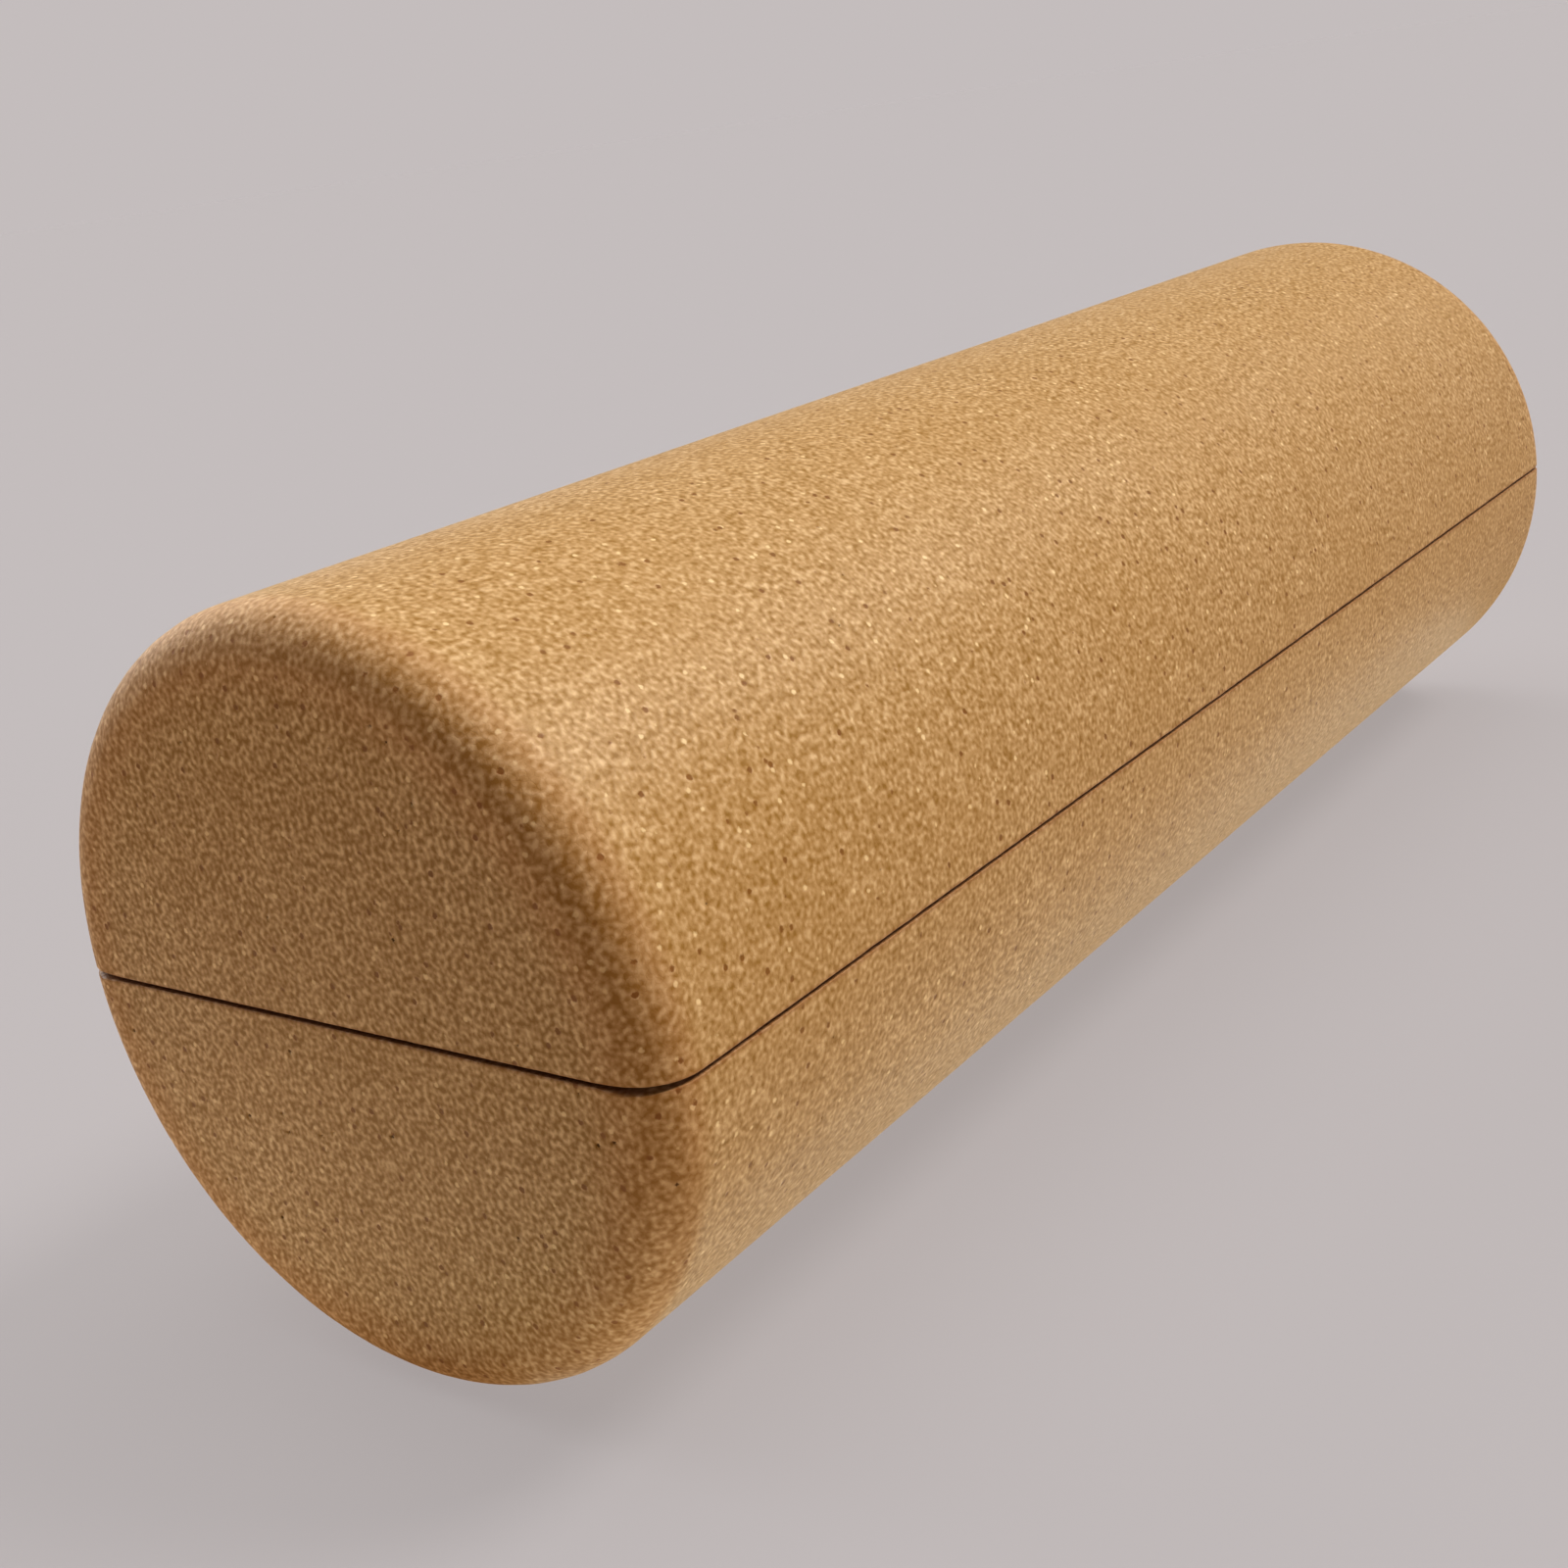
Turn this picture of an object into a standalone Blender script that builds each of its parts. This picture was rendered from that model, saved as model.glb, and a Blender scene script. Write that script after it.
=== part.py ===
"""Cork balance board: a turned cork roller, sawn lengthwise into two half-round boards.

The boards lie sawn face to sawn face and make up the full roller again. Lifted
apart, each one is a board to balance on, flat side up or flat side down.

Metres, +Z up. X runs along the roller. The origin is under the middle of the
roller, on the floor.
"""

import math

import bmesh
import bpy
from mathutils import Matrix, Vector

# Driving dimensions
ROLLER_LENGTH = 0.450
ROLLER_DIAMETER = 0.150
RIM_ROUND = 0.010  # radius between each end face and the round side
SAWN_EDGE_EASE = 0.0006  # width that sanding takes off the edges of a sawn face
SEAT_GAP = 0.0003  # between the two sawn faces, where one board rests on the other

# How finely the round stretches are divided
STRIPS_PER_BOARD = 47  # an odd number puts one level strip at the very bottom
RIM_STEPS = 6
EASE_STEPS = 2

# Angles and tolerances that tell one kind of edge from another
SHARP_ANGLE = math.radians(60)
END_FACE_SLOPE = 0.99  # an end face's normal lies along X at least this closely
SAW_TOLERANCE = 1e-6  # a corner this near the saw's plane counts as on it

# Bare cork, sanded and not lacquered
CORK_COLOUR = (0.45, 0.26, 0.12, 1.0)
CORK_ROUGHNESS = 0.75
CORK_METALLIC = 0.0

BOARD_THICKNESS = ROLLER_DIAMETER / 2


def remove_all_objects():
    for obj in list(bpy.data.objects):
        bpy.data.objects.remove(obj, do_unlink=True)


def cork_material(name):
    material = bpy.data.materials.new(name)
    material.use_nodes = True
    shader = material.node_tree.nodes["Principled BSDF"]
    shader.inputs["Base Color"].default_value = CORK_COLOUR
    shader.inputs["Roughness"].default_value = CORK_ROUGHNESS
    shader.inputs["Metallic"].default_value = CORK_METALLIC
    return material


def turn_roller(solid):
    """A full roller along X, its middle at the origin. Its flat strips touch the true round."""
    strips = 2 * STRIPS_PER_BOARD
    corner_radius = ROLLER_DIAMETER / 2 / math.cos(math.pi / strips)
    bmesh.ops.create_cone(
        solid,
        cap_ends=True,
        segments=strips,
        radius1=corner_radius,
        radius2=corner_radius,
        depth=ROLLER_LENGTH,
        matrix=Matrix.Rotation(math.pi / 2, 4, "Y"),
    )


def is_end_face(face):
    return abs(face.normal.x) > END_FACE_SLOPE


def round_rims(solid):
    """Rounds the edge between each end face and the round side."""
    bmesh.ops.recalc_face_normals(solid, faces=solid.faces)
    rims = [edge for edge in solid.edges if any(is_end_face(face) for face in edge.link_faces)]
    bmesh.ops.bevel(
        solid,
        geom=rims,
        affect="EDGES",
        offset=RIM_ROUND,
        offset_type="OFFSET",
        segments=RIM_STEPS,
        profile=0.5,
        clamp_overlap=True,
    )


def saw_lengthwise(solid):
    """Keeps the half below the roller's axis, and closes the cut with the sawn face."""
    sawn = bmesh.ops.bisect_plane(
        solid,
        geom=[*solid.verts, *solid.edges, *solid.faces],
        dist=SAW_TOLERANCE,
        plane_co=Vector((0, 0, 0)),
        plane_no=Vector((0, 0, 1)),
        clear_outer=True,
    )
    outline = [piece for piece in sawn["geom_cut"] if isinstance(piece, bmesh.types.BMEdge)]
    bmesh.ops.contextual_create(solid, geom=outline)


def board_mesh(name):
    """A half-round board, its sawn face up and centred on the origin."""
    solid = bmesh.new()
    turn_roller(solid)
    round_rims(solid)
    saw_lengthwise(solid)
    bmesh.ops.recalc_face_normals(solid, faces=solid.faces)
    mesh = bpy.data.meshes.new(name)
    solid.to_mesh(mesh)
    solid.free()
    mesh.shade_smooth()
    return mesh


def ease_sawn_edges(board):
    """Sands the sharp edges all round the sawn face, and keeps the flat faces flat in the light."""
    ease = board.modifiers.new("sawn_edge_ease", "BEVEL")
    ease.limit_method = "ANGLE"
    ease.angle_limit = SHARP_ANGLE
    ease.width = SAWN_EDGE_EASE
    ease.segments = EASE_STEPS
    board.modifiers.new("flat_faces_stay_flat", "WEIGHTED_NORMAL")


def add_board(name, collection, sawn_face_height, turn):
    """One board. Its origin is the middle of its sawn face, where it is lifted off."""
    mesh = board_mesh(name)
    mesh.materials.append(cork_material(name + "_cork"))
    board = bpy.data.objects.new(name, mesh)
    board.location.z = sawn_face_height
    board.rotation_euler.x = turn
    collection.objects.link(board)
    ease_sawn_edges(board)


def main():
    remove_all_objects()
    collection = bpy.data.collections.new("cork_balance_board")
    bpy.context.scene.collection.children.link(collection)
    seat = BOARD_THICKNESS
    add_board("lower_half", collection, sawn_face_height=seat, turn=0.0)
    add_board("upper_half", collection, sawn_face_height=seat + SEAT_GAP, turn=math.pi)


main()
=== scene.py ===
"""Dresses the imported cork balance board: two half-round boards sawn from one turned roller.

Each board gets a fine skin with rounded rims, sanded edges along the saw cut and small pits
where granules have fallen out, in granulated cork. A pale floor, soft light and the camera
make up the stage.
"""

import math
import random
from itertools import pairwise

import bmesh
import bpy
from bpy.props import FloatProperty, FloatVectorProperty, IntProperty, PointerProperty
from mathutils import Matrix, Vector, noise
from mathutils.geometry import delaunay_2d_cdt


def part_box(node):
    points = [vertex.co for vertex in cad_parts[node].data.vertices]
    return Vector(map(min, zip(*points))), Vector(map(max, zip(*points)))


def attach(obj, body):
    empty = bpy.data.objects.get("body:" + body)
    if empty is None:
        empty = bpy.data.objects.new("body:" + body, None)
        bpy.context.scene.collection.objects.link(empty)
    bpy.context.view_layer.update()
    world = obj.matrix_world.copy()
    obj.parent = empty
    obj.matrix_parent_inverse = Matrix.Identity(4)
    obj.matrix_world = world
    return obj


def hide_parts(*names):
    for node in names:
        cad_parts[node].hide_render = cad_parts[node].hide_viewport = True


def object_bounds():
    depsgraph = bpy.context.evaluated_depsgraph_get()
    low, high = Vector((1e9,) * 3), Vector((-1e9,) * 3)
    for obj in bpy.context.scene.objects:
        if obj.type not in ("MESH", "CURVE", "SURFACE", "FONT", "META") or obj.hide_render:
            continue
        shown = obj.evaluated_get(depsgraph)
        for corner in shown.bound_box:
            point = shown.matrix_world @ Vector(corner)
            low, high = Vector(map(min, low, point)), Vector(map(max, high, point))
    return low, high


bl_info = {
    "name": "Cork balance board",
    "version": (1, 0, 0),
    "blender": (4, 5, 0),
    "location": "3D View > Sidebar > Cork board",
    "description": "Makes two sawn cork boards and the stage that they lie on",
    "category": "Object",
}

MILLIMETRE = 0.001

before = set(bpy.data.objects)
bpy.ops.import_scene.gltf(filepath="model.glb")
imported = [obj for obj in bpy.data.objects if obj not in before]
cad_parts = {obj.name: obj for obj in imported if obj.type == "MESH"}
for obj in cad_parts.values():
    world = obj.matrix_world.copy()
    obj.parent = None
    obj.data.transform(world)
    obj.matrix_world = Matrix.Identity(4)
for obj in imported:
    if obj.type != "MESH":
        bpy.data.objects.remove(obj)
CAD_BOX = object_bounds()

# The boards' own sizes and the heights of their sawn faces, read off the solids
LOWER_LOW, LOWER_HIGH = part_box("lower_half")
LENGTH = LOWER_HIGH.x - LOWER_LOW.x
THICKNESS = LOWER_HIGH.z - LOWER_LOW.z
LOWER_SAWN = LOWER_HIGH.z
UPPER_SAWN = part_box("upper_half")[0].z


class BoardSizes(bpy.types.PropertyGroup):
    """Sizes of a board's edges, skin and pits."""

    rim_round: FloatProperty(
        name="Rim round",
        description="Radius between an end face and the round side",
        default=10 * MILLIMETRE,
        unit="LENGTH",
    )
    edge_ease: FloatProperty(
        name="Sawn edge ease",
        description="Radius that sanding leaves along the edges of the sawn face",
        default=0.35 * MILLIMETRE,
        unit="LENGTH",
    )
    edge_wear: FloatProperty(
        name="Sawn edge wear",
        description="How much that radius grows and shrinks along an edge, as a share of it",
        default=0.6,
        subtype="FACTOR",
    )
    side_fall: FloatProperty(
        name="Sawn face's side fall",
        description="How far the sanded face falls away towards the round side",
        default=0.13 * MILLIMETRE,
        unit="LENGTH",
    )
    end_fall: FloatProperty(
        name="Sawn face's end fall",
        description="How far the sanded face falls away towards the end faces",
        default=0.24 * MILLIMETRE,
        unit="LENGTH",
    )
    corner_fall: FloatProperty(
        name="Sawn face's corner fall",
        description="How much further it falls away at its corners, where a roller's rim wears most",
        default=0.27 * MILLIMETRE,
        unit="LENGTH",
    )
    side_fall_width: FloatProperty(
        name="Side fall's width",
        description="Width of the band along the round side where the sanded face falls away",
        default=7 * MILLIMETRE,
        unit="LENGTH",
    )
    end_fall_width: FloatProperty(
        name="End fall's width",
        description="Width of the band along the end faces where the sanded face falls away",
        default=13 * MILLIMETRE,
        unit="LENGTH",
    )
    cell: FloatProperty(
        name="Skin cell",
        description="Spacing of the skin's corners",
        default=1.45 * MILLIMETRE,
        unit="LENGTH",
    )
    unevenness: FloatProperty(
        name="Unevenness",
        description="Depth of the low places that sanding leaves",
        default=0.08 * MILLIMETRE,
        unit="LENGTH",
    )
    uneven_width: FloatProperty(
        name="Unevenness width",
        description="Width of those low places",
        default=4 * MILLIMETRE,
        unit="LENGTH",
    )
    pits: IntProperty(
        name="Pits",
        description="Number of pits in one board where a granule has fallen out",
        default=300,
    )
    pit_width: FloatProperty(
        name="Pit width",
        description="Width of the widest pits",
        default=1.0 * MILLIMETRE,
        unit="LENGTH",
    )


class CorkLook(bpy.types.PropertyGroup):
    """Grain and colours of the cork."""

    granule: FloatProperty(
        name="Granule",
        description="Mean width of a cork granule",
        default=1.1 * MILLIMETRE,
        unit="LENGTH",
    )
    pale: FloatVectorProperty(
        name="Pale granules",
        description="Colour of the palest granules",
        default=(0.623, 0.432, 0.235),
        subtype="COLOR",
    )
    tan: FloatVectorProperty(
        name="Tan granules",
        description="Colour of most granules",
        default=(0.431, 0.262, 0.105),
        subtype="COLOR",
    )
    brown: FloatVectorProperty(
        name="Brown granules",
        description="Colour of the darkest granules",
        default=(0.267, 0.132, 0.0155),
        subtype="COLOR",
    )
    contrast: FloatProperty(
        name="Grain contrast",
        description="How far the granules differ in tone",
        default=1.03,
    )
    end_contrast: FloatProperty(
        name="End contrast",
        description="How much more the granules differ in tone on the end faces",
        default=0.5,
    )
    drift: FloatProperty(
        name="Drift",
        description="How strongly the cork drifts to a darker tone and back over its length",
        default=0.12,
        subtype="FACTOR",
    )
    fleck: FloatVectorProperty(
        name="Light flecks",
        description="Colour of the few light flecks",
        default=(0.8, 0.61, 0.35),
        subtype="COLOR",
    )
    fleck_strength: FloatProperty(
        name="Fleck strength",
        description="How strongly the light flecks show",
        default=0.7,
        subtype="FACTOR",
    )
    fleck_spacing: FloatProperty(
        name="Fleck spacing",
        description="Spacing of the places for light flecks",
        default=4 * MILLIMETRE,
        unit="LENGTH",
    )
    bark: FloatVectorProperty(
        name="Bark specks",
        description="Colour of the few dark specks of bark",
        default=(0.2, 0.075, 0.003),
        subtype="COLOR",
    )
    bark_spacing: FloatProperty(
        name="Bark spacing",
        description="Spacing of the places for specks of bark",
        default=4.5 * MILLIMETRE,
        unit="LENGTH",
    )
    bare_share: FloatProperty(
        name="Bare places",
        description="Share of those places that stay bare away from the end faces",
        default=0.4,
        subtype="FACTOR",
    )
    # Painted shade: the dark colour of the seam's shade, painted on the narrow lips along the saw
    # cut
    seam_shade: FloatVectorProperty(
        name="Sawn lips",
        description="Colour that handling gives the narrow lips along the saw cut",
        default=(0.22, 0.06, 0.008),
        subtype="COLOR",
    )
    seam_shade_strength: FloatProperty(
        name="Lip strength",
        description="How strongly the lips are darkened",
        default=0.4,
        subtype="FACTOR",
    )
    # Painted shade: the seam's shade colour painted on the sawn face's border
    border_shade: FloatProperty(
        name="Stain",
        description="How strongly the same colour stains the sawn face's border",
        default=0.5,
        subtype="FACTOR",
    )
    # Painted shade: the redder colour that the rims show in shade, painted on them
    rim: FloatVectorProperty(
        name="Rims",
        description="Warmer colour that handling brings to the rounded rims",
        default=(0.5, 0.209, 0.084),
        subtype="COLOR",
    )
    rim_shade_strength: FloatProperty(
        name="Rim strength",
        description="How strongly the rims take on that colour",
        default=0.17,
        subtype="FACTOR",
    )
    rim_dullness: FloatProperty(
        name="Rim dullness",
        description="How much rougher the rims are than the rest",
        default=0.14,
        subtype="FACTOR",
    )
    roughness: FloatProperty(
        name="Roughness",
        description="Roughness of the smoothest granules",
        default=0.33,
        subtype="FACTOR",
    )
    relief: FloatProperty(
        name="Relief",
        description="Depth of the grain",
        default=0.2 * MILLIMETRE,
        unit="LENGTH",
    )


class StageLook(bpy.types.PropertyGroup):
    """Backdrop, light and camera."""

    backdrop: FloatVectorProperty(
        name="Backdrop",
        description="Colour of the backdrop, and of the floor where no shadow falls",
        default=(0.603, 0.563, 0.563),
        subtype="COLOR",
    )
    gamma: FloatProperty(
        name="Gamma",
        description="Gamma of the picture: below 1, middle tones are darker and contrast is higher",
        default=0.85,
    )
    floor_glow: FloatProperty(
        name="Floor glow",
        description="Share of the floor's lightness that it gives off itself, as a light table does",
        default=0.7,
        subtype="FACTOR",
    )
    floor_bounce: FloatVectorProperty(
        name="Floor bounce",
        description="Warm light that this glow throws on the boards",
        default=(0.495, 0.315, 0.141),
        subtype="COLOR",
    )
    overhead: FloatProperty(
        name="Overhead light",
        description="Strength of the wide light overhead",
        default=1.53,
    )
    far_overhead: FloatProperty(
        name="Far overhead light",
        description="Strength of the wide light above the far end",
        default=0.617,
    )
    window: FloatProperty(
        name="Window light",
        description="Strength of the window past the far end",
        default=0.427,
    )
    high_window: FloatProperty(
        name="High window light",
        description="Strength of the higher window past the far end",
        default=2.5,
    )
    low_side: FloatProperty(
        name="Low side light",
        description="Strength of the low light beside the boards",
        default=0.473,
    )
    behind: FloatProperty(
        name="Light from behind",
        description="Strength of the wide light behind the boards",
        default=1.88,
    )
    end_panel: FloatProperty(
        name="End panel",
        description="Strength of the narrow panel of light on the floor before the near end",
        default=0.822,
    )
    side_panel: FloatProperty(
        name="Side panel",
        description="Strength of the panel of light on the floor along the boards' side",
        default=1.285,
    )
    under_panel: FloatProperty(
        name="Under panel",
        description="Strength of the panel of light on the floor close under the boards' side",
        default=1.441,
    )
    corner_panel: FloatProperty(
        name="Corner panel",
        description="Strength of the panel of light on the floor off the near end's back corner",
        default=1.86,
    )
    lens: FloatProperty(
        name="Lens",
        description="Focal length on a sensor 36 mm wide, in millimetres",
        default=46.04,
    )


class Link:
    """An output socket of a node, with Python's arithmetic."""

    def __init__(self, paint, socket):
        self.paint = paint
        self.socket = socket

    def __add__(self, other):
        return self.paint.math("ADD", self, other)

    __radd__ = __add__

    def __sub__(self, other):
        return self.paint.math("SUBTRACT", self, other)

    def __rsub__(self, other):
        return self.paint.math("SUBTRACT", other, self)

    def __mul__(self, other):
        return self.paint.math("MULTIPLY", self, other)

    __rmul__ = __mul__

    def __gt__(self, other):
        return self.paint.math("GREATER_THAN", self, other)

    def __lt__(self, other):
        return self.paint.math("LESS_THAN", self, other)


class Paint:
    """Adds nodes to one node tree."""

    def __init__(self, tree):
        self.nodes = tree.nodes
        self.links = tree.links

    def feed(self, socket, value):
        if isinstance(value, Link):
            self.links.new(value.socket, socket)
        else:
            socket.default_value = value

    def node(self, kind, settings=None, inputs=None, output=0):
        """Adds a node, sets it up, feeds its sockets and returns one of its outputs."""
        made = self.nodes.new(kind)
        for key, value in (settings or {}).items():
            if key == "stops":
                self.set_stops(made.color_ramp, value)
            else:
                setattr(made, key, value)
        for key, value in (inputs or {}).items():
            self.feed(made.inputs[key], value)
        return Link(self, made.outputs[output])

    def set_stops(self, ramp, stops):
        while len(ramp.elements) < len(stops):
            ramp.elements.new(1.0)
        for element, (position, colour) in zip(ramp.elements, stops):
            element.position = position
            element.color = colour

    def math(self, operation, first, second):
        return self.node("ShaderNodeMath", {"operation": operation}, {0: first, 1: second})

    def vector(self, operation, first, second):
        return self.node("ShaderNodeVectorMath", {"operation": operation}, {0: first, 1: second})

    def mix(self, share, first, second):
        """Colours first and second, blended by share."""
        return self.node("ShaderNodeMix", {"data_type": "RGBA"}, {0: share, 6: first, 7: second}, 2)

    def noise(self, place, width, detail=2.0, output=0):
        """Clouds of about that width, in metres."""
        inputs = {"Vector": place, "Scale": 1 / width, "Detail": detail}
        return self.node("ShaderNodeTexNoise", None, inputs, output)

    def cells(self, place, width, output="Distance", feature="F1"):
        """Cells of about that width, in metres."""
        inputs = {"Vector": place, "Scale": 1 / width}
        return self.node("ShaderNodeTexVoronoi", {"feature": feature}, inputs, output)

    def share(self, value, start, end):
        """0 where value is start, 1 where it is end, and smooth between them."""
        inputs = {"Value": value, "From Min": start, "From Max": end}
        return self.node("ShaderNodeMapRange", {"interpolation_type": "SMOOTHSTEP"}, inputs)

    def split(self, colour, output):
        return self.node("ShaderNodeSeparateColor", None, {"Color": colour}, output)

    def axis(self, place, name):
        return self.node("ShaderNodeSeparateXYZ", None, {"Vector": place}, name)


def opaque(colour, lightness=1.0):
    """The colour times lightness, with full alpha."""
    return (*(channel * lightness for channel in colour), 1.0)


def new_material(name):
    """A new material, the paint for its nodes and its surface shader."""
    material = bpy.data.materials.new(name)
    material.use_nodes = True
    tree = material.node_tree
    return material, Paint(tree), tree.nodes["Principled BSDF"]


# Widths of the grain's layers, in granules
RAGGED_WIDTH = 0.6
CLOUD_WIDTH = 0.97
FINE_WIDTH = 0.5
MEETING_WIDTH = 0.2

# What each layer adds to the tone, or takes from it where granules meet
GRANULE_TONE = 0.2
CLOUD_TONE = 1.2
FINE_TONE = 0.15
MEETING_TONE = 0.08

# The mean of those sums, and the place that it gets between brown and pale
MIXTURE_MEAN = 0.77
MIDDLE_TONE = 0.48

# What each layer adds to the relief, or takes from it at meetings and bark
MIXTURE_RELIEF = 0.5
FINE_RELIEF = 0.2
MEETING_RELIEF = 0.1
BARK_RELIEF = 0.5
SAW_RELIEF = 0.12

# Radii of a fleck's and a bark speck's full colour and of the end of both, in their spacings
FLECK_CORE = 0.08
BARK_CORE = 0.09
SPOT_EDGE = 0.17

# The slow drift: its width, the clouds' values where it starts and is full, and its lightness
DRIFT_WIDTH = 40 * MILLIMETRE
DRIFT_START = 0.3
DRIFT_FULL = 0.7
DRIFT_LIGHTNESS = 1.3

# How much rougher the roughest granules are than the smoothest
ROUGHNESS_RANGE = 0.25

# Distances from the end faces at which the end grain, and the rims' painted shade colour and
# dullness, start, and are full
END_GRAIN_START = 8 * MILLIMETRE
END_GRAIN_FULL = 0.0
RIM_START = 12 * MILLIMETRE
RIM_FULL = 6 * MILLIMETRE

# Depths under the round side at which the rims' painted shade colour and dullness start on an end
# face, and are full
RIM_INNER_START = 20 * MILLIMETRE
RIM_INNER_FULL = 8 * MILLIMETRE

# Distances from the sawn face's edges at which its painted seam shade starts, and is full
BORDER_SHADE_START = 4 * MILLIMETRE
BORDER_SHADE_FULL = MILLIMETRE

# Distances from the saw cut at which the painted seam shade on a lip starts, and is full
SEAM_SHADE_START = MILLIMETRE
SEAM_SHADE_FULL = 0.25 * MILLIMETRE


def near_ends(paint, along, start, full):
    """0 further than start from both end faces, 1 nearer than full, and smooth between them."""
    return paint.share(along * along, (LENGTH / 2 - start) ** 2, (LENGTH / 2 - full) ** 2)


def ragged(paint, place, width):
    """The place pushed about by clouds of that width, so that granules get ragged outlines."""
    clouds = paint.noise(place, width, output="Color")
    push = paint.vector("SUBTRACT", clouds, (0.5, 0.5, 0.5))
    return paint.vector("ADD", place, paint.vector("MULTIPLY", push, (width,) * 3))


def pressed_granules(paint, place, crumb, granule):
    """Tone and relief of granules of mixed tone, darker and lower where they meet."""
    granules = paint.split(paint.cells(crumb, granule, "Color"), "Red")
    clouds = paint.noise(place, granule * CLOUD_WIDTH, detail=0.0)
    fine = paint.noise(crumb, granule * FINE_WIDTH, detail=1.0)
    gap = paint.cells(crumb, granule, feature="DISTANCE_TO_EDGE")
    meeting = 1 - paint.share(gap, 0.0, MEETING_WIDTH)
    mixture = granules * GRANULE_TONE + clouds * CLOUD_TONE + fine * FINE_TONE
    mixture = mixture - meeting * MEETING_TONE
    relief = mixture * MIXTURE_RELIEF + fine * FINE_RELIEF - meeting * MEETING_RELIEF
    return mixture, relief


def spots(paint, crumb, spacing, core, pick, bare):
    """1 on small round spots, and 0 off them. A share of their places, bare, has none.

    pick is the channel of the cells' colours that tells which places those are.
    """
    chosen = paint.split(paint.cells(crumb, spacing, "Color"), pick) > bare
    return (1 - paint.share(paint.cells(crumb, spacing), core, SPOT_EDGE)) * chosen


def shaded_border(paint, along, across):
    """1 along the sawn face's edges, where the seam's shade is painted, and 0 inside that border."""
    inner, outer = THICKNESS - BORDER_SHADE_START, THICKNESS - BORDER_SHADE_FULL
    inside = 1 - paint.share(across * across, inner**2, outer**2)
    return 1 - inside * (1 - near_ends(paint, along, BORDER_SHADE_START, BORDER_SHADE_FULL))


def saw_marks(paint, place):
    """Faint wavy bands that the saw left across the board."""
    settings = {"wave_type": "BANDS", "bands_direction": "X"}
    inputs = {"Vector": place, "Scale": 110.0, "Distortion": 6.0, "Detail": 2.0}
    return paint.node("ShaderNodeTexWave", settings, inputs, "Fac")


def rounded_rims(paint, along, across, height):
    """1 on the rounded rims, and 0 on the round side and on the middle of the end faces."""
    inner, outer = THICKNESS - RIM_INNER_START, THICKNESS - RIM_INNER_FULL
    ring = paint.share(across * across + height * height, inner**2, outer**2)
    return near_ends(paint, along, RIM_START, RIM_FULL) * ring


def cork_paint(name, look, sawn, sawn_height):
    """Granulated cork: pressed granules of mixed tone, darker where they meet, flecks and bark.

    The sawn face keeps faint saw marks and has the seam's shade painted on its border. The turned
    skin has the seam's shade painted on its lips at sawn_height, a redder painted shade colour and
    more roughness on its rims, and more flecks on its end faces.
    """
    material, paint, surface = new_material(name)
    place = paint.node("ShaderNodeTexCoord", output="Object")
    crumb = ragged(paint, place, look.granule * RAGGED_WIDTH)
    along, across = paint.axis(place, "X"), paint.axis(crumb, "Y")
    ends = near_ends(paint, along, END_GRAIN_START, END_GRAIN_FULL)

    mixture, relief = pressed_granules(paint, place, crumb, look.granule)
    tone = (mixture - MIXTURE_MEAN) * (ends * look.end_contrast + look.contrast) + MIDDLE_TONE
    stops = [(0.0, opaque(look.brown)), (0.5, opaque(look.tan)), (1.0, opaque(look.pale))]
    cork = paint.node("ShaderNodeValToRGB", {"stops": stops}, {"Fac": tone}, "Color")

    bare = look.bare_share - ends * look.bare_share
    fleck = spots(paint, crumb, look.fleck_spacing, FLECK_CORE, "Green", bare)
    cork = paint.mix(fleck * look.fleck_strength, cork, opaque(look.fleck))
    bark = spots(paint, crumb, look.bark_spacing, BARK_CORE, "Blue", bare)
    cork = paint.mix(bark, cork, opaque(look.bark))
    relief = relief - bark * BARK_RELIEF

    drift = paint.share(paint.noise(place, DRIFT_WIDTH), DRIFT_START, DRIFT_FULL)
    cork = paint.mix(drift * look.drift, cork, opaque(look.brown, DRIFT_LIGHTNESS))
    roughness = paint.noise(crumb, look.granule * RAGGED_WIDTH) * ROUGHNESS_RANGE + look.roughness
    if sawn:
        # Painted shade: the seam's shade colour on the sawn face's border
        border_shade = shaded_border(paint, along, across) * look.border_shade
        cork = paint.mix(border_shade, cork, opaque(look.seam_shade))
        relief = relief + saw_marks(paint, place) * SAW_RELIEF
    else:
        height = paint.axis(crumb, "Z") - sawn_height
        # Painted shade: the seam's shade colour on the lips next to the saw cut
        seam_shade = 1 - paint.share(height * height, SEAM_SHADE_FULL**2, SEAM_SHADE_START**2)
        cork = paint.mix(seam_shade * look.seam_shade_strength, cork, opaque(look.seam_shade))
        rim = rounded_rims(paint, along, across, height)
        # Painted shade: the rims' redder shade colour; the added roughness below is their real
        # dullness
        cork = paint.mix(rim * look.rim_shade_strength, cork, opaque(look.rim))
        roughness = roughness + rim * look.rim_dullness
    paint.feed(surface.inputs["Base Color"], cork)
    paint.feed(surface.inputs["Roughness"], roughness)
    surface.inputs["Specular IOR Level"].default_value = 0.25
    surface.inputs["Sheen Weight"].default_value = 0.1
    inputs = {"Height": relief, "Strength": 0.4, "Distance": look.relief}
    paint.feed(surface.inputs["Normal"], paint.node("ShaderNodeBump", None, inputs))
    return material


def put(name, data):
    """A new object that holds data, in the scene."""
    thing = bpy.data.objects.new(name, data)
    bpy.context.scene.collection.objects.link(thing)
    return thing


def as_mesh(name, solid):
    """A mesh made from the solid, which is used up."""
    mesh = bpy.data.meshes.new(name)
    solid.to_mesh(mesh)
    solid.free()
    return mesh


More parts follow.
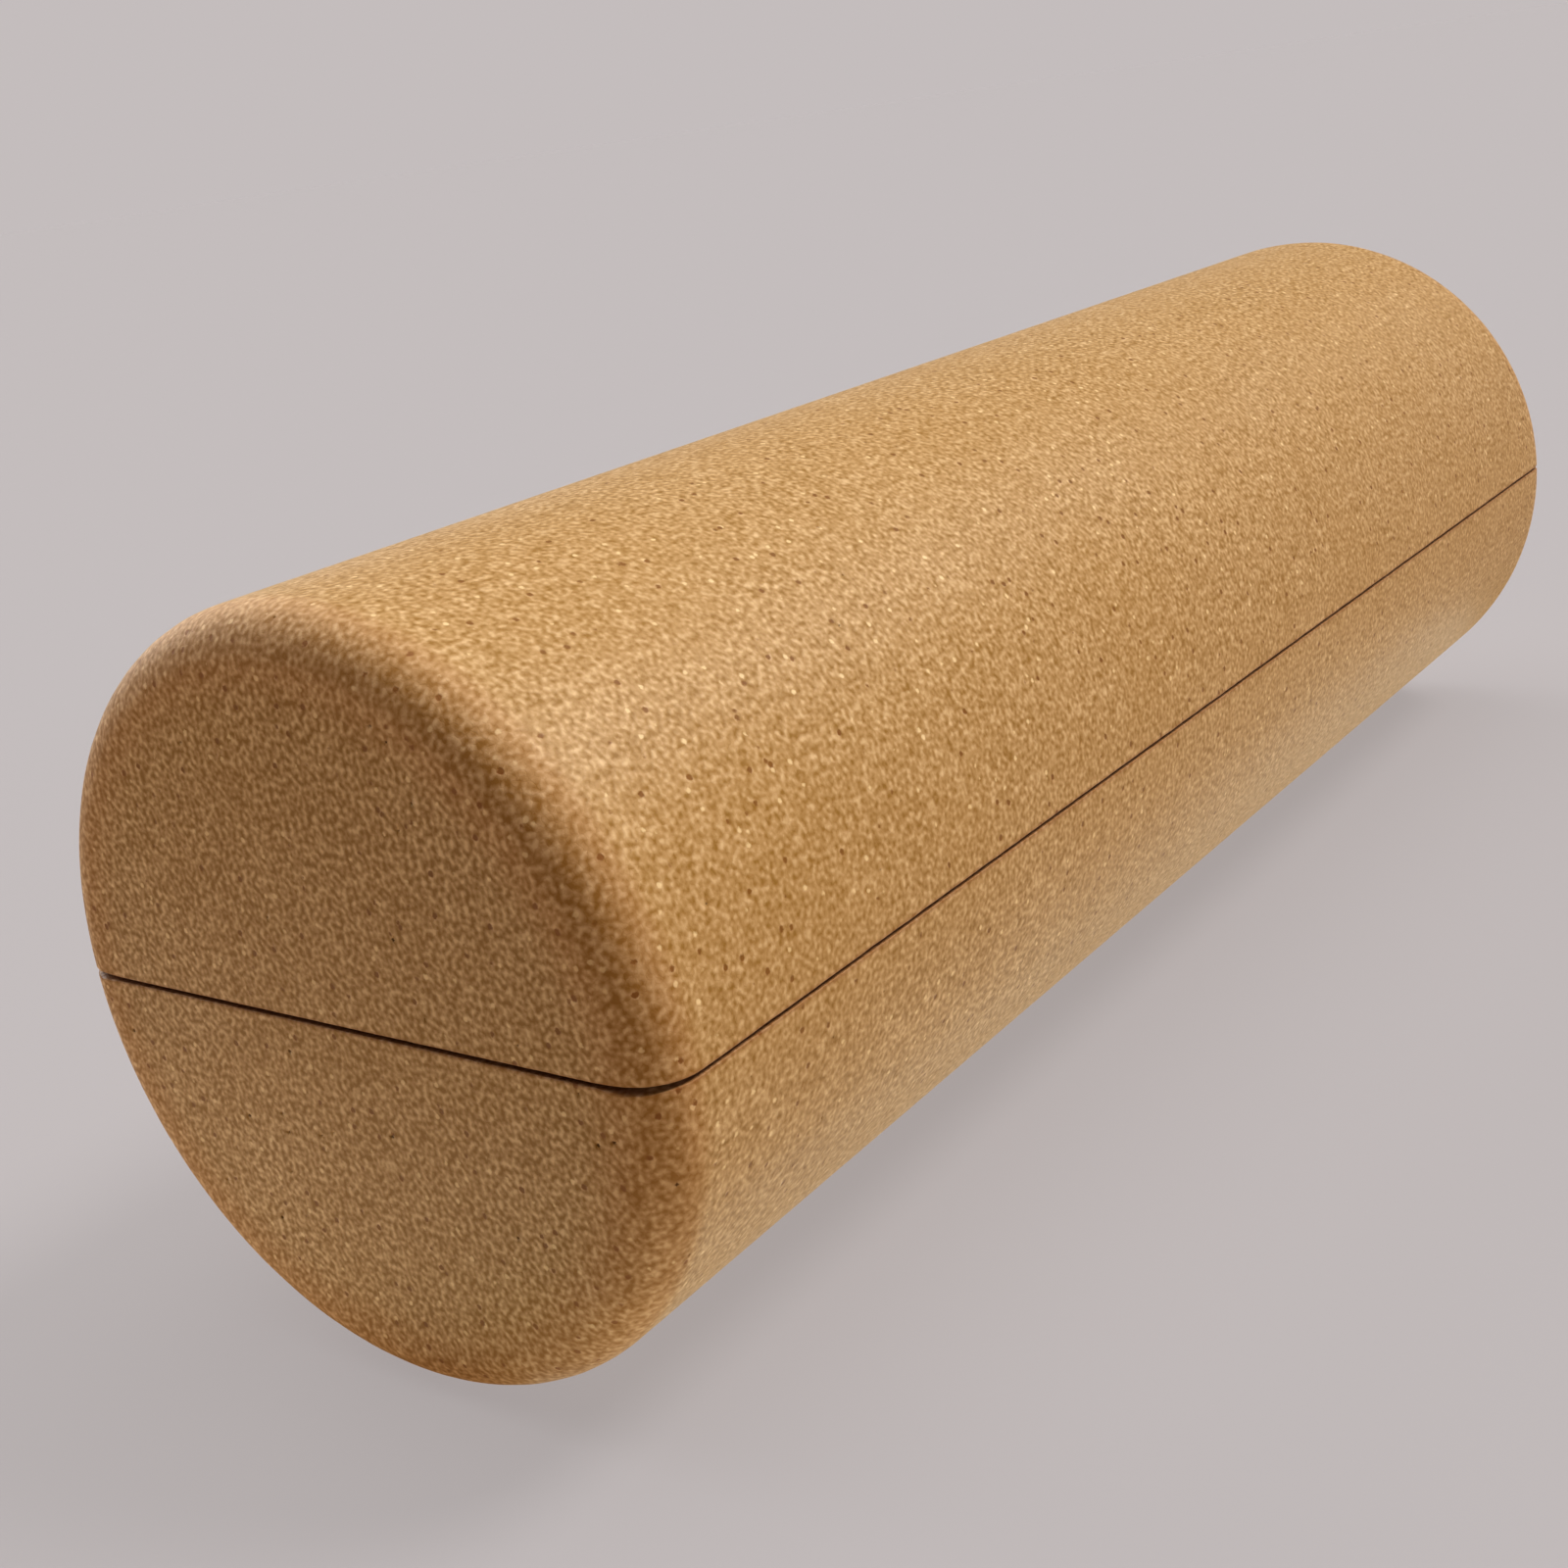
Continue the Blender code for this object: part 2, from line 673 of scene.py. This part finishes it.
def quarter_drop(depth, radius):
    """How far a quarter round of that radius lies below its flat, at a depth from the edge."""
    inside = max(0.0, radius - depth)
    return radius - math.sqrt(radius * radius - inside * inside)


def edge_drop(depth, fall, width):
    """How far the sanded face has fallen away at a depth from its edge."""
    inside = max(0.0, 1 - depth / width)
    return fall * inside * inside


def station_depths(rim, ease, cell):
    """Distances from an end face at which the skin has a ring of corners, up to the middle."""
    ease_steps = 3
    rim_steps = 10
    quarter = math.pi / 2
    eased = [ease * (1 - math.cos(quarter * step / ease_steps)) for step in range(ease_steps + 1)]
    rounded = [rim * (1 - math.cos(quarter * step / rim_steps)) for step in range(1, rim_steps + 1)]
    plain_steps = round((LENGTH / 2 - rim) / cell)
    plain = [rim + (LENGTH / 2 - rim) * step / plain_steps for step in range(1, plain_steps + 1)]
    too_near = 1.5 * ease
    return eased + [depth for depth in rounded if depth > too_near] + plain


def section_ring(reach, top, ease, sizes, depth):
    """Points (y, z) round a half-round section: across the sawn face, a corner, the arc, a corner.

    reach is the section's radius, top the height of its sawn face, ease its corners' radius and
    depth the section's distance from the end face.
    """
    corner_steps = 4
    face_steps = round(2 * THICKNESS / sizes.cell)
    arc_steps = round(math.pi * THICKNESS / sizes.cell)
    flat = reach - ease
    middle = top - edge_drop(depth, sizes.end_fall, sizes.end_fall_width)
    side_fall = sizes.side_fall + edge_drop(depth, sizes.corner_fall, sizes.end_fall_width)
    edge = middle - side_fall
    ring = []
    for step in range(face_steps):
        y = flat * (2 * step / face_steps - 1)
        ring.append((y, middle - edge_drop(flat - abs(y), side_fall, sizes.side_fall_width)))
    turns = [math.pi / 2 * (1 - step / corner_steps) for step in range(corner_steps + 1)]
    corner = [(flat + ease * math.cos(turn), edge - ease + ease * math.sin(turn)) for turn in turns]
    start = math.asin((ease - edge) / reach)
    sweep = math.pi - 2 * start
    arc = [start + sweep * step / arc_steps for step in range(1, arc_steps)]
    ring += corner
    ring += [(reach * math.cos(angle), -reach * math.sin(angle)) for angle in arc]
    ring += [(-y, z) for y, z in reversed(corner[1:])]
    return ring


def fill_end(solid, loop, cell):
    """Fills an end face with even triangles, on a honeycomb of points inside its outline."""
    outline = [vert.co.yz for vert in loop]
    reach = max(point.x for point in outline)
    top = max(point.y for point in outline)
    row_height = cell * math.sqrt(3) / 2
    margin = cell * 0.75
    count = int(reach / cell)
    points = list(outline)
    for row in range(1, int(reach / row_height)):
        z = top - row * row_height
        shift = cell / 2 if row % 2 else 0.0
        places = [Vector((column * cell + shift, z)) for column in range(-count, count + 1)]
        points += [point for point in places if point.length < reach - margin and z < top - margin]
    edges = [(here, (here + 1) % len(outline)) for here in range(len(outline))]
    only_inside, closest = 1, 1e-9
    filled = delaunay_2d_cdt(points, edges, [], only_inside, closest)
    corners, _, triangles, sources, _, _ = filled
    verts = []
    for corner, source in zip(corners, sources):
        on_outline = [index for index in source if index < len(outline)]
        new_place = (loop[0].co.x, corner.x, corner.y)
        verts.append(loop[on_outline[0]] if on_outline else solid.verts.new(new_place))
    for triangle in triangles:
        solid.faces.new([verts[index] for index in triangle])


def pit_spots(solid, sizes, dice):
    """Corners of the skin where a pit has room, well inside even stretches."""
    roomy = 0.7 * sizes.cell
    even = [
        vert for vert in solid.verts if min(edge.calc_length() for edge in vert.link_edges) > roomy
    ]
    tries = min(len(even), 3 * sizes.pits)
    picked = []
    taken = set()
    for vert in dice.sample(even, tries):
        round_about = {edge.other_vert(vert) for edge in vert.link_edges}
        if taken.isdisjoint(round_about | {vert}):
            taken.update(round_about | {vert})
            picked.append(vert)
    return picked[: sizes.pits]


# Widths of small, middling and wide pits, in widths of the widest
SMALL_PIT = 0.45
MIDDLING_PIT = 0.7
WIDE_PIT = 1.0

# A pit's brim and depth, in radii
PIT_BRIM = 0.25
PIT_DEPTH = 1.3


def open_pits(solid, sizes, dice):
    """Opens small round pits: each is a corner of the skin cut off flat, and the flat sunk.

    Half of them are small, a quarter middling and a quarter wide.
    """
    picked = pit_spots(solid, sizes, dice)
    groups = [(picked[0::2], SMALL_PIT), (picked[1::4], MIDDLING_PIT), (picked[3::4], WIDE_PIT)]
    for group, width in groups:
        radius = sizes.pit_width * width / 2
        cut = bmesh.ops.bevel(
            solid,
            geom=group,
            offset=radius,
            affect="VERTICES",
            segments=2,
            profile=0.5,
            clamp_overlap=True,
        )
        brim, depth = radius * PIT_BRIM, -radius * PIT_DEPTH
        bmesh.ops.inset_region(solid, faces=cut["faces"], thickness=brim, depth=depth)


# Ups and downs of an edge's wear in a metre
WEAR_WAVES = 160


def board_mesh(name, sizes, seed):
    """One board as a closed mesh, its sawn face up at height 0."""
    rim, ease, cell = sizes.rim_round, sizes.edge_ease, sizes.cell
    depths = station_depths(rim, ease, cell)
    stations = [(depth - LENGTH / 2, depth) for depth in depths]
    stations += [(-x, depth) for x, depth in reversed(stations[:-1])]
    solid = bmesh.new()
    loops = []
    for x, depth in stations:
        reach = THICKNESS - quarter_drop(depth, rim)
        top = -quarter_drop(depth, ease)
        wear = noise.noise(Vector((x * WEAR_WAVES, seed, 0))) * sizes.edge_wear
        ring = section_ring(reach, top, ease * (1 + wear), sizes, depth)
        loops.append([solid.verts.new((x, y, z)) for y, z in ring])
    for near, far in pairwise(loops):
        for here in range(len(near)):
            solid.faces.new((near[here - 1], near[here], far[here], far[here - 1]))
    fill_end(solid, loops[0], cell)
    fill_end(solid, loops[-1], cell)
    bmesh.ops.recalc_face_normals(solid, faces=solid.faces)
    solid.normal_update()
    open_pits(solid, sizes, random.Random(seed))
    mesh = as_mesh(name, solid)
    mesh.shade_smooth()
    return mesh


def paint_sawn_face(mesh):
    """Gives the sawn face, near height 0 and nearly level, the second material."""
    lowest, steepest = -2 * MILLIMETRE, 0.9
    for face in mesh.polygons:
        if face.normal.z > steepest and face.center.z > lowest:
            face.material_index = 1


def make_board(node, body, seed, place):
    """Makes the board that stands for a node, at a place, and lets it ride on a body."""
    scene = bpy.context.scene
    sizes, look = scene.board_sizes, scene.cork_look
    sawn_height = place.translation.z
    mesh = board_mesh(node + "_cork", sizes, seed)
    mesh.materials.append(cork_paint(node + "_turned", look, False, sawn_height))
    mesh.materials.append(cork_paint(node + "_sawn", look, True, sawn_height))
    paint_sawn_face(mesh)
    mesh.transform(place)
    board = put(node + "_board", mesh)
    uneven = board.modifiers.new("sanded_unevenness", "DISPLACE")
    uneven.texture = bpy.data.textures.new(node + "_unevenness", "CLOUDS")
    uneven.texture.noise_scale = sizes.uneven_width
    uneven.strength = sizes.unevenness
    uneven.mid_level = 1.0
    board.modifiers.new("flat_faces_stay_flat", "WEIGHTED_NORMAL")
    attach(board, body)
    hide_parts(node)


# Seeds that give each board pits and wear of its own
LOWER_SEED = 3
UPPER_SEED = 8


class CORK_OT_lower_board(bpy.types.Operator):
    """Make the lower board, with its sawn face up."""

    bl_idname = "cork.lower_board"
    bl_label = "Lower board"

    def execute(self, context):
        make_board("lower_half", "lower", LOWER_SEED, Matrix.Translation((0, 0, LOWER_SAWN)))
        return {"FINISHED"}


class CORK_OT_upper_board(bpy.types.Operator):
    """Make the upper board, turned over on to the lower one."""

    bl_idname = "cork.upper_board"
    bl_label = "Upper board"

    def execute(self, context):
        turned = Matrix.Translation((0, 0, UPPER_SAWN)) @ Matrix.Rotation(math.pi, 4, "X")
        make_board("upper_half", "upper", UPPER_SEED, turned)
        return {"FINISHED"}


# Where each light comes from, and how wide it looks in degrees
LIGHTS = {
    "overhead": ((0.0, 0.0, 1.0), 60),
    "far_overhead": ((0.4, 0.15, 0.9), 50),
    "window": ((0.65, -0.42, 0.62), 24),
    "high_window": ((0.45, -0.45, 0.77), 20),
    "low_side": ((0.3, -0.93, 0.19), 20),
    "behind": ((0.1, 0.9, 0.5), 50),
}

# Panels of light that lie on the floor: where each starts and ends in x and in y, and its colour
PANELS = {
    "end_panel": ((-0.29, -0.235), (-0.12, 0.12), (0.922, 1.0, 0.774)),
    "side_panel": ((-0.3, 0.25), (-0.2, -0.06), (0.919, 1.0, 0.862)),
    "under_panel": ((-0.3, 0.25), (-0.1, -0.025), (0.613, 0.863, 1.0)),
    "corner_panel": ((-0.55, -0.235), (0.0, 0.3), (1.0, 0.961, 0.945)),
}
PANEL_HEIGHT = 2 * MILLIMETRE

# The room is pale up to the first height and dark from the second, as sines above the horizon
WALL_END = 0.1
DARK_START = 0.25

# Where the camera stands and how it is held, its sensor in millimetres and its nearest sight
CAMERA_PLACE = Vector((-0.42445, -0.2664, 0.2141))
CAMERA_HEADING = math.radians(38.545)
CAMERA_PITCH = math.radians(-18.374)
CAMERA_ROLL = math.radians(-8.482)
SENSOR_WIDTH = 36.0
NEAREST_SEEN = 10 * MILLIMETRE

# How far the floor reaches each way, the width of its faint clouds and their share of its tone
FLOOR_REACH = 60
FLOOR_CLOUD = 0.4
FLOOR_MOTTLE = 0.002


def add_camera(look):
    """The camera, turned to its heading, tipped to its pitch and rolled about its line of sight."""
    level = math.cos(CAMERA_PITCH)
    ahead = level * math.cos(CAMERA_HEADING)
    aside = level * math.sin(CAMERA_HEADING)
    forward = Vector((ahead, aside, math.sin(CAMERA_PITCH)))
    roll = Matrix.Rotation(CAMERA_ROLL, 3, "Z").to_quaternion()
    camera = put("camera", bpy.data.cameras.new("camera"))
    camera.rotation_mode = "QUATERNION"
    camera.rotation_quaternion = forward.to_track_quat("-Z", "Y") @ roll
    camera.location = CAMERA_PLACE
    camera.data.sensor_width = SENSOR_WIDTH
    camera.data.lens = look.lens
    camera.data.clip_start = NEAREST_SEEN
    bpy.context.scene.camera = camera


def add_lights(look):
    """Wide soft suns all round, and panels of light on the floor that the camera doesn't see."""
    for name, (source, width) in LIGHTS.items():
        lamp = bpy.data.lights.new(name, "SUN")
        lamp.energy = getattr(look, name)
        lamp.angle = math.radians(width)
        light = put(name, lamp)
        light.rotation_mode = "QUATERNION"
        light.rotation_quaternion = Vector(source).to_track_quat("Z", "Y")
    for name, (along, across, colour) in PANELS.items():
        lamp = bpy.data.lights.new(name, "AREA")
        lamp.shape = "RECTANGLE"
        lamp.size = along[1] - along[0]
        lamp.size_y = across[1] - across[0]
        lamp.energy = getattr(look, name) * lamp.size * lamp.size_y
        lamp.color = colour
        panel = put(name, lamp)
        panel.location = (sum(along) / 2, sum(across) / 2, CAD_BOX[0].z + PANEL_HEIGHT)
        panel.rotation_euler = (math.pi, 0, 0)
        panel.visible_camera = False


def add_world(look):
    """A plain backdrop to look at, and the light of a dark room with a low pale wall all round."""
    world = bpy.data.worlds.new("backdrop")
    world.use_nodes = True
    paint = Paint(world.node_tree)
    direction = paint.node("ShaderNodeTexCoord", output="Generated")
    height = paint.axis(direction, "Z")
    dark = paint.share(height, WALL_END, DARK_START)
    seen = paint.node("ShaderNodeLightPath", output="Is Camera Ray")
    room = paint.mix(dark, opaque(look.backdrop), opaque(look.backdrop, 0.0))
    colour = paint.mix(seen, room, opaque(look.backdrop))
    paint.feed(world.node_tree.nodes["Background"].inputs["Color"], colour)
    bpy.context.scene.world = world


def wall_share():
    """How much of a plain backdrop's light the pale wall gives a level floor."""
    steps = 200
    total = 0.0
    for step in range(steps):
        height = (step + 0.5) / steps
        dark = min(1.0, max(0.0, (height - WALL_END) / (DARK_START - WALL_END)))
        total += 2 * height / steps * (1 - dark * dark * (3 - 2 * dark))
    return total


def floor_colour(look):
    """The colour that makes the lit floor look like the backdrop, so that no horizon shows."""
    lamps = sum(
        getattr(look, name) * Vector(source).normalized().z / math.pi
        for name, (source, _) in LIGHTS.items()
    )
    reflected = 1 - look.floor_glow
    return [shade * reflected / (shade * wall_share() + lamps) for shade in look.backdrop]


def add_floor(look):
    """A wide level floor that gives off part of its own light."""
    material, paint, surface = new_material("floor")
    colour = floor_colour(look)
    place = paint.node("ShaderNodeTexCoord", output="Object")
    faint = paint.noise(place, FLOOR_CLOUD)
    darker, lighter = opaque(colour, 1 - FLOOR_MOTTLE), opaque(colour, 1 + FLOOR_MOTTLE)
    paint.feed(surface.inputs["Base Color"], paint.mix(faint, darker, lighter))
    surface.inputs["Roughness"].default_value = 1.0
    surface.inputs["Specular IOR Level"].default_value = 0.0
    seen = paint.node("ShaderNodeLightPath", output="Is Camera Ray")
    glow = paint.mix(seen, opaque(look.floor_bounce), opaque(look.backdrop, look.floor_glow))
    paint.feed(surface.inputs["Emission Color"], glow)
    surface.inputs["Emission Strength"].default_value = 1.0
    solid = bmesh.new()
    bmesh.ops.create_grid(solid, x_segments=1, y_segments=1, size=FLOOR_REACH)
    mesh = as_mesh("floor", solid)
    mesh.materials.append(material)
    floor = put("floor", mesh)
    floor.location.z = CAD_BOX[0].z


class CORK_OT_stage(bpy.types.Operator):
    """Make the floor, the backdrop, the lights and the camera."""

    bl_idname = "cork.stage"
    bl_label = "Stage"

    def execute(self, context):
        look = context.scene.stage_look
        context.scene.view_settings.view_transform = "Standard"
        context.scene.view_settings.gamma = look.gamma
        add_world(look)
        add_floor(look)
        add_lights(look)
        add_camera(look)
        return {"FINISHED"}


class CORK_PT_panel(bpy.types.Panel):
    bl_idname = "CORK_PT_panel"
    bl_label = "Cork balance board"
    bl_space_type = "VIEW_3D"
    bl_region_type = "UI"
    bl_category = "Cork board"

    def draw(self, context):
        for name, group in GROUPS.items():
            box = self.layout.box()
            for value in group.__annotations__:
                box.prop(getattr(context.scene, name), value)
        for operator in OPERATORS:
            self.layout.operator(operator.bl_idname)


GROUPS = {"board_sizes": BoardSizes, "cork_look": CorkLook, "stage_look": StageLook}
OPERATORS = (CORK_OT_lower_board, CORK_OT_upper_board, CORK_OT_stage)


def register():
    for name, group in GROUPS.items():
        bpy.utils.register_class(group)
        setattr(bpy.types.Scene, name, PointerProperty(type=group))
    for kind in (*OPERATORS, CORK_PT_panel):
        bpy.utils.register_class(kind)


def unregister():
    for kind in (CORK_PT_panel, *reversed(OPERATORS)):
        bpy.utils.unregister_class(kind)
    for name, group in GROUPS.items():
        delattr(bpy.types.Scene, name)
        bpy.utils.unregister_class(group)


def main():
    register()
    bpy.ops.cork.lower_board()
    bpy.ops.cork.upper_board()
    bpy.ops.cork.stage()


if __name__ == "__main__":
    main()
